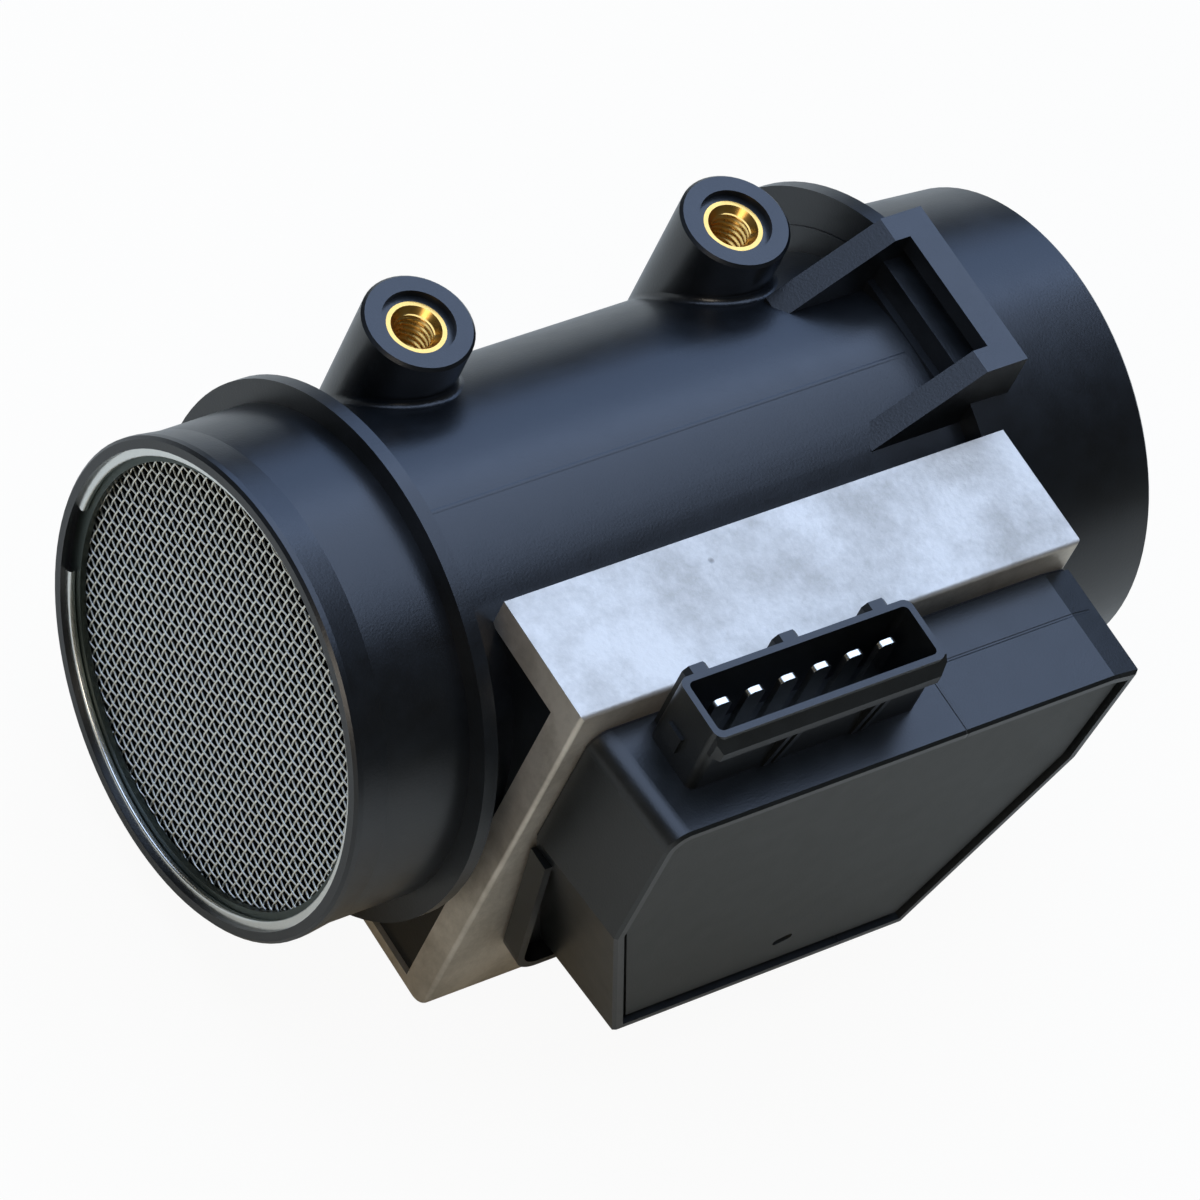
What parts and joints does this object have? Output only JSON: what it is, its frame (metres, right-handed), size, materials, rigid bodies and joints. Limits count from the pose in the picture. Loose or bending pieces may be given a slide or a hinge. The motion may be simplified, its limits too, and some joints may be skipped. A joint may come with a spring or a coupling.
{
  "type": "mass airflow sensor",
  "caption": "Hot-wire mass airflow sensor: black air tube with screened mouths, threaded bosses, cast heat sink and an electronics case with a blade connector.",
  "frame": {"origin": "centre of the inlet face, on the air tube's axis", "axes": "+X along the tube from inlet to outlet, +Z along the threaded bosses, -Y towards the electronics case"},
  "size_m": [0.1274, 0.0906, 0.0766],
  "materials": {
    "housing_plastic": "satin",
    "case_plastic": "satin",
    "cover_plastic": "matte",
    "insert_brass": "machined",
    "ring_steel": "bright",
    "screen_wire": "drawn wire",
    "frame_aluminium": "dark anodised",
    "cast_aluminium": "as cast",
    "screw_steel": "zinc plated",
    "seal_rubber": "matte",
    "sealant": "soft gloss",
    "duct_plastic": "satin",
    "platinum_wire": "drawn",
    "pin_steel": "bright",
    "resistor_ceramic": "fired",
    "board_ceramic": "fired",
    "chip_plastic": "matte",
    "capacitor_ceramic": "fired",
    "tinned_blade": "tin plated"
  },
  "bodies": {
    "root": {"housing": "housing_plastic", "front_thread_insert": "insert_brass", "rear_thread_insert": "insert_brass", "inlet_snap_ring": "ring_steel", "outlet_snap_ring": "ring_steel", "inlet_screen_frame": "frame_aluminium", "outlet_screen_frame": "frame_aluminium", "inlet_screen": "screen_wire", "outlet_screen": "screen_wire", "heat_sink": "cast_aluminium", "heat_sink_screws": "screw_steel", "sensor_plug": "duct_plastic", "plug_seal_ring": "seal_rubber", "measuring_duct": "duct_plastic", "wire_prongs": "pin_steel", "hot_wire": "platinum_wire", "compensation_resistor": "resistor_ceramic", "precision_resistor": "resistor_ceramic", "electronics_case": "case_plastic", "case_gasket": "seal_rubber", "cover_plate": "cover_plastic", "cover_sealant": "sealant", "circuit_board": "board_ceramic", "power_transistor": "chip_plastic", "control_chip": "chip_plastic", "chip_capacitors": "capacitor_ceramic", "lead_strips": "tinned_blade", "terminal_1": "tinned_blade", "terminal_2": "tinned_blade", "terminal_3": "tinned_blade", "terminal_4": "tinned_blade", "terminal_5": "tinned_blade", "terminal_6": "tinned_blade"}
  },
  "joints": []
}
